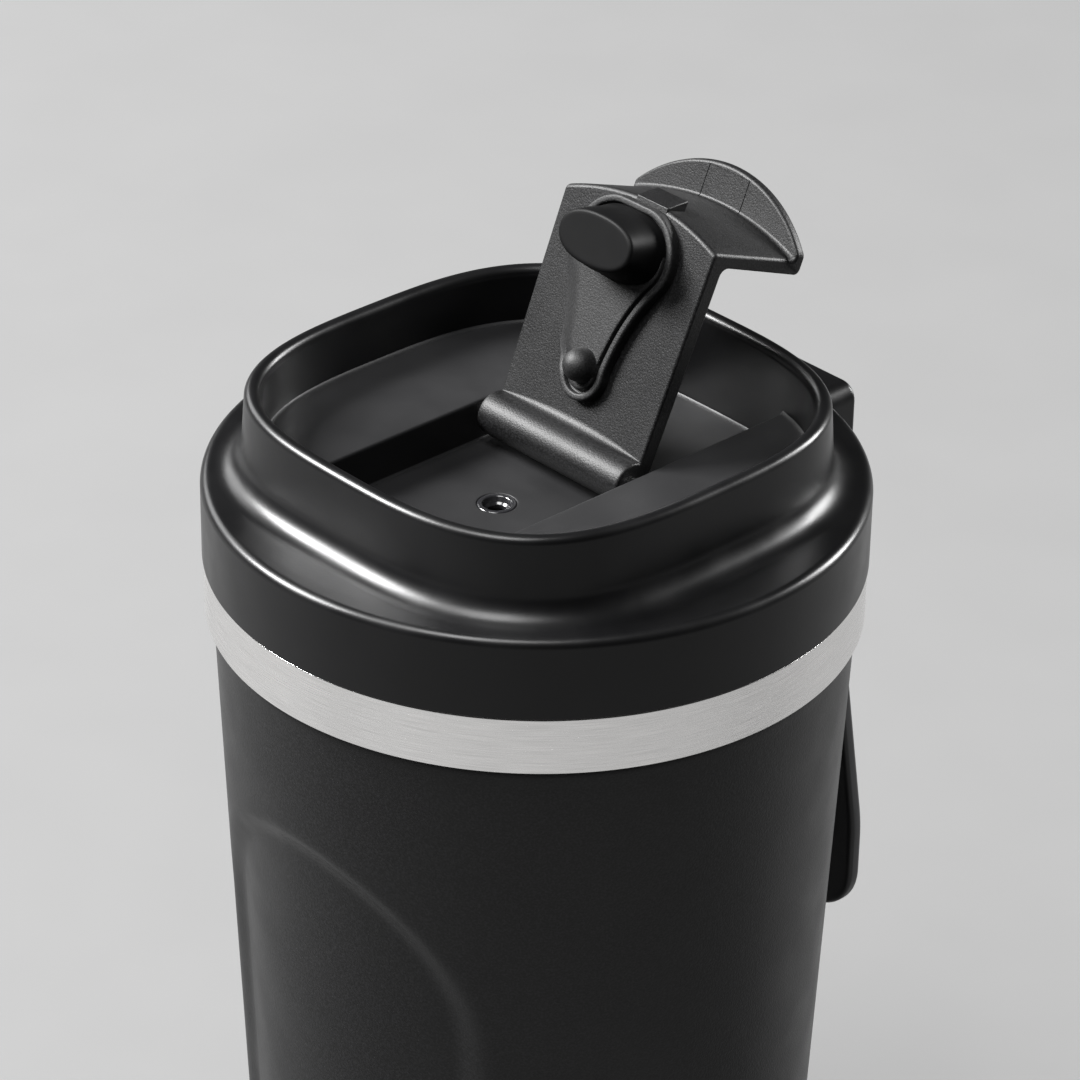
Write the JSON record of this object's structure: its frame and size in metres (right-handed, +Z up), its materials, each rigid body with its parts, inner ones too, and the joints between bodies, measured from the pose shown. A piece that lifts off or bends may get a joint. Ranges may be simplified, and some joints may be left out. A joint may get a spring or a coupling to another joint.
{
  "type": "insulated travel mug",
  "caption": "Tapered double-wall steel travel mug with palm recesses, a steel collar, and a screw-on lid with a squircle rim, a flip lever that seals the drink hole, and a carry loop.",
  "frame": {"origin": "centre of the foot's underside, where the mug stands on a table", "axes": "+Z up along the mug's axis, -Y towards the drinking side, +Y towards the carry loop, +X to the drinker's right, along the lever's hinge pin"},
  "size_m": [0.089, 0.0932, 0.1937],
  "materials": {
    "powder_coat": "black powder coat with a fine grain",
    "brushed_steel": "brushed around the ring",
    "bare_steel": "electropolished",
    "pin_steel": "drawn wire",
    "lid_plastic": "satin moulded polypropylene",
    "deck_plastic": "fine matt moulded polypropylene",
    "lever_plastic": "sparked texture",
    "sleeve_plastic": "moulded polypropylene",
    "bush_plastic": "polished",
    "seal_silicone": "matt silicone",
    "plug_silicone": "smooth matt silicone",
    "gasket_silicone": "grey silicone",
    "foot_rubber": "matt rubber",
    "loop_rubber": "flexible moulding",
    "getter_metal": "sintered"
  },
  "bodies": {
    "cup": {"foot_pad": "foot_rubber", "base_plate": "bare_steel", "vacuum_seal": "bare_steel", "getter": "getter_metal", "outer_shell": "powder_coat", "inner_liner": "bare_steel", "steel_collar": "brushed_steel", "neck_ring": "sleeve_plastic"},
    "lid_carrier": {"lid_gasket": "gasket_silicone"},
    "lid": {"lid_shell": "lid_plastic", "lid_deck": "deck_plastic", "lid_sleeve": "sleeve_plastic", "vent_bush": "bush_plastic", "hinge_pin": "pin_steel", "loop_bracket": "lid_plastic", "loop_pin": "pin_steel"},
    "lever": {"flip_lever": "lever_plastic", "seal_pad": "seal_silicone", "drink_plug": "plug_silicone"},
    "loop": {"carry_loop": "loop_rubber"}
  },
  "joints": [
    {"name": "lid_lift", "type": "slide", "parent": "cup", "child": "lid_carrier", "axis": [0, 0, 1], "range_m": [0, 0.00751]},
    {"name": "lid_turn", "type": "hinge", "parent": "lid_carrier", "child": "lid", "pos_m": [0, 0, 0.15], "axis": [0, 0, 1], "range_deg": [0, 540]},
    {"name": "lever_flip", "type": "hinge", "parent": "lid", "child": "lever", "pos_m": [0, 0.0045, 0.1609], "axis": [-1, 0, 0], "range_deg": [-113.9, 18]},
    {"name": "loop_swing", "type": "hinge", "parent": "lid", "child": "loop", "pos_m": [0, 0.0468, 0.153], "axis": [1, 0, 0], "range_deg": [0, 120]}
  ],
  "couplings": [
    {"joint": "lid_lift", "follows": "lid_turn", "m_per_rad": 0.00079577}
  ]
}
